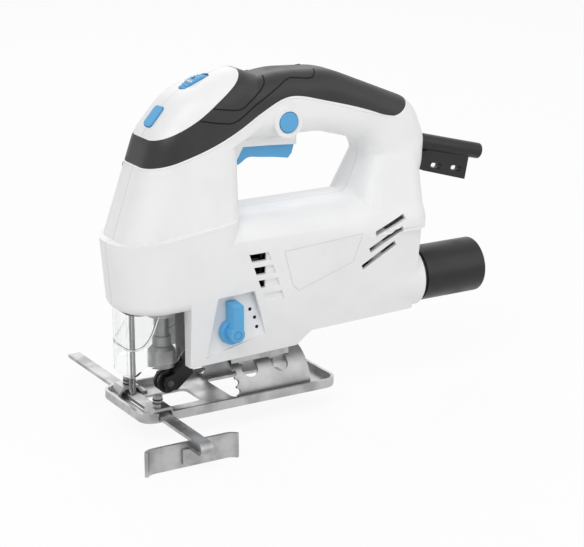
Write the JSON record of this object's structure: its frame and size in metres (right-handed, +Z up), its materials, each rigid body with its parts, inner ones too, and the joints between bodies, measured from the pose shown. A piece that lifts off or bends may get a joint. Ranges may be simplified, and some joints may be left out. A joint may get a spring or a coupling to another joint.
{
  "type": "jigsaw power tool",
  "caption": "Corded jigsaw with a closed loop handle, pendulum lever, tilting sole on an arched saddle, clear chip guard, dust tube and a sliding rip fence.",
  "frame": {"origin": "on the sole's lower face, on the centre plane, in the web between the blade opening and the saddle opening", "axes": "+X forward along the cut, +Y to the tool's left, +Z up out of the sole"},
  "size_m": [0.2775, 0.181, 0.2136],
  "materials": {
    "shell": "fine satin white moulding",
    "grip": "dark grey soft overmould",
    "control": "blue satin moulding",
    "black_plastic": "black moulding",
    "cord_rubber": "black rubber",
    "clear": "clear moulding",
    "seal": "pale translucent rubber",
    "sole_steel": "zinc plated pressed sheet",
    "steel": "turned steel",
    "core_iron": "stacked laminations",
    "copper": "enamelled copper",
    "bronze": "sintered bronze",
    "carbon": "pressed carbon",
    "case_alloy": "die cast"
  },
  "bodies": {
    "body": {"housing_left": "shell", "housing_right": "shell", "soft_grip_left": "grip", "soft_grip_right": "grip", "dust_adapter": "black_plastic", "dust_duct": "black_plastic", "main_switch": "black_plastic", "light_switch": "black_plastic", "cord_clamp": "black_plastic", "brush_holders": "black_plastic", "speed_board": "black_plastic", "cord_sleeve": "cord_rubber", "chip_guard": "clear", "light_lens": "clear", "plunger_seal": "seal", "saddle_clamp": "sole_steel", "base_mount": "sole_steel", "finger_wire": "steel", "gear_spindle": "steel", "front_bearing": "steel", "rear_bearing": "steel", "fork_pin": "steel", "trigger_pin": "steel", "dial_axle": "steel", "saddle_bolts": "steel", "housing_screws": "steel", "brush_springs": "steel", "stator_core": "core_iron", "field_coils": "copper", "upper_bush": "bronze", "lower_bush": "bronze", "carbon_brushes": "carbon", "gear_case": "case_alloy"},
    "armature": {"armature_shaft": "steel", "armature_core": "core_iron", "armature_winding": "copper", "commutator": "copper", "fan": "black_plastic"},
    "gear": {"drive_gear": "steel", "crank_pin": "steel", "crank_roller": "steel"},
    "plunger": {"plunger_rod": "steel", "plunger_yoke": "steel", "collar_sleeve": "steel"},
    "collar": {"blade_collar": "steel"},
    "fork": {"guide_fork": "black_plastic", "roller_pin": "steel"},
    "roller": {"guide_roller": "steel"},
    "lever": {"pendulum_lever": "control", "orbit_cam": "steel"},
    "trigger": {"trigger": "control"},
    "lock_button": {"lock_button": "control"},
    "dial": {"speed_dial": "control"},
    "light_button": {"light_button": "control"},
    "base": {"base_plate": "sole_steel", "base_saddle": "sole_steel"},
    "fence": {"fence_bar": "sole_steel", "fence_plate": "sole_steel"},
    "fence_screw_left": {"fence_screw_left": "steel"},
    "fence_screw_right": {"fence_screw_right": "steel"}
  },
  "joints": [
    {"name": "armature_spin", "type": "hinge", "parent": "body", "child": "armature", "pos_m": [-0.05, 0, 0.086], "axis": [1, 0, 0], "continuous": true},
    {"name": "gear_spin", "type": "hinge", "parent": "body", "child": "gear", "pos_m": [0.01, 0, 0.10805], "axis": [1, 0, 0], "continuous": true},
    {"name": "plunger_stroke", "type": "slide", "parent": "body", "child": "plunger", "axis": [0, 0, 1], "range_m": [0, 0.018]},
    {"name": "collar_twist", "type": "hinge", "parent": "plunger", "child": "collar", "pos_m": [0.031, 0, 0.03], "axis": [0, 0, 1], "range_deg": [0, 60], "stiffness_Nm_per_rad": 0.05},
    {"name": "fork_swing", "type": "hinge", "parent": "body", "child": "fork", "pos_m": [0.0155, 0, 0.057], "axis": [0, 1, 0], "range_deg": [0, 11]},
    {"name": "roller_spin", "type": "hinge", "parent": "fork", "child": "roller", "pos_m": [0.0283, 0, 0.0137], "axis": [0, 1, 0], "continuous": true},
    {"name": "lever_turn", "type": "hinge", "parent": "body", "child": "lever", "pos_m": [-0.0029, 0.025, 0.0468], "axis": [0, -1, 0], "range_deg": [0, 90]},
    {"name": "trigger_pull", "type": "hinge", "parent": "body", "child": "trigger", "pos_m": [-0.0225, 0, 0.161], "axis": [0, 1, 0], "range_deg": [0, 8], "stiffness_Nm_per_rad": 1.5, "springref_deg": -6.88},
    {"name": "lock_press", "type": "slide", "parent": "body", "child": "lock_button", "axis": [0, -1, 0], "range_m": [0, 0.003], "stiffness_N_per_m": 600, "springref_m": -0.002},
    {"name": "dial_turn", "type": "hinge", "parent": "body", "child": "dial", "pos_m": [0.00082, 0, 0.18015], "axis": [0, 1, 0], "range_deg": [-140, 140]},
    {"name": "light_press", "type": "slide", "parent": "body", "child": "light_button", "axis": [-0.7504, 0, -0.661], "range_m": [0, 0.001], "stiffness_N_per_m": 900, "springref_m": -0.001},
    {"name": "base_bevel", "type": "hinge", "parent": "body", "child": "base", "pos_m": [0, 0, 0.002], "axis": [1, 0, 0], "range_deg": [-45, 45]},
    {"name": "fence_slide", "type": "slide", "parent": "base", "child": "fence", "axis": [0, 1, 0], "range_m": [-0.03, 0.06]},
    {"name": "fence_screw_left_turn", "type": "hinge", "parent": "base", "child": "fence_screw_left", "pos_m": [0.045, 0.022, 0.009], "axis": [0, 0, 1], "continuous": true},
    {"name": "fence_screw_right_turn", "type": "hinge", "parent": "base", "child": "fence_screw_right", "pos_m": [0.043, -0.022, 0.009], "axis": [0, 0, 1], "continuous": true}
  ],
  "couplings": [
    {"joint": "gear_spin", "follows": "armature_spin", "ratio": -0.16667}
  ]
}
